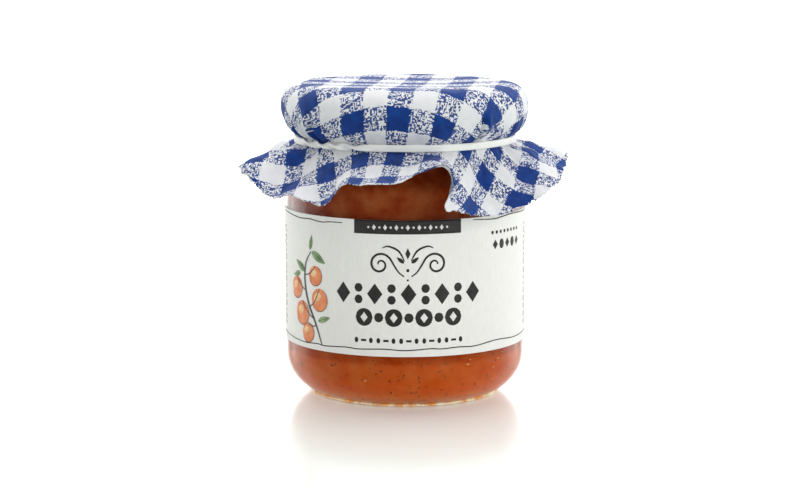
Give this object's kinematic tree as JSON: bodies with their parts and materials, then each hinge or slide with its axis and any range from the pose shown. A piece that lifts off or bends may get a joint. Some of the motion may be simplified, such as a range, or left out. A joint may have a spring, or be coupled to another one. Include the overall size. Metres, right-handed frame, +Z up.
{
  "type": "jam jar",
  "caption": "Round glass jar filled with jam, closed by a lid under a gathered checked cloth cover held by an elastic band, with a paper label round the straight wall",
  "frame": {"origin": "centre of the foot that the jar stands on", "axes": "+Z up along the jar's axis, -Y towards the front of the label, +X to the right as seen from the front"},
  "size_m": [0.0953, 0.1012, 0.0883],
  "materials": {
    "clear_glass": "clear, smooth",
    "apricot_jam": "deep amber brown, translucent, with fine dark seeds",
    "lid_enamel": "white enamelled tinplate, hidden under the cloth",
    "checked_cotton": "blue and white gingham cotton with a pinked edge",
    "white_elastic": "flat white woven elastic",
    "label_paper": "matte white paper with plain printed shapes"
  },
  "bodies": {
    "root": {"glass_jar": "clear_glass", "jam": "apricot_jam", "lid": "lid_enamel", "cloth_cover": "checked_cotton", "elastic_band": "white_elastic", "paper_label": "label_paper"}
  },
  "joints": []
}
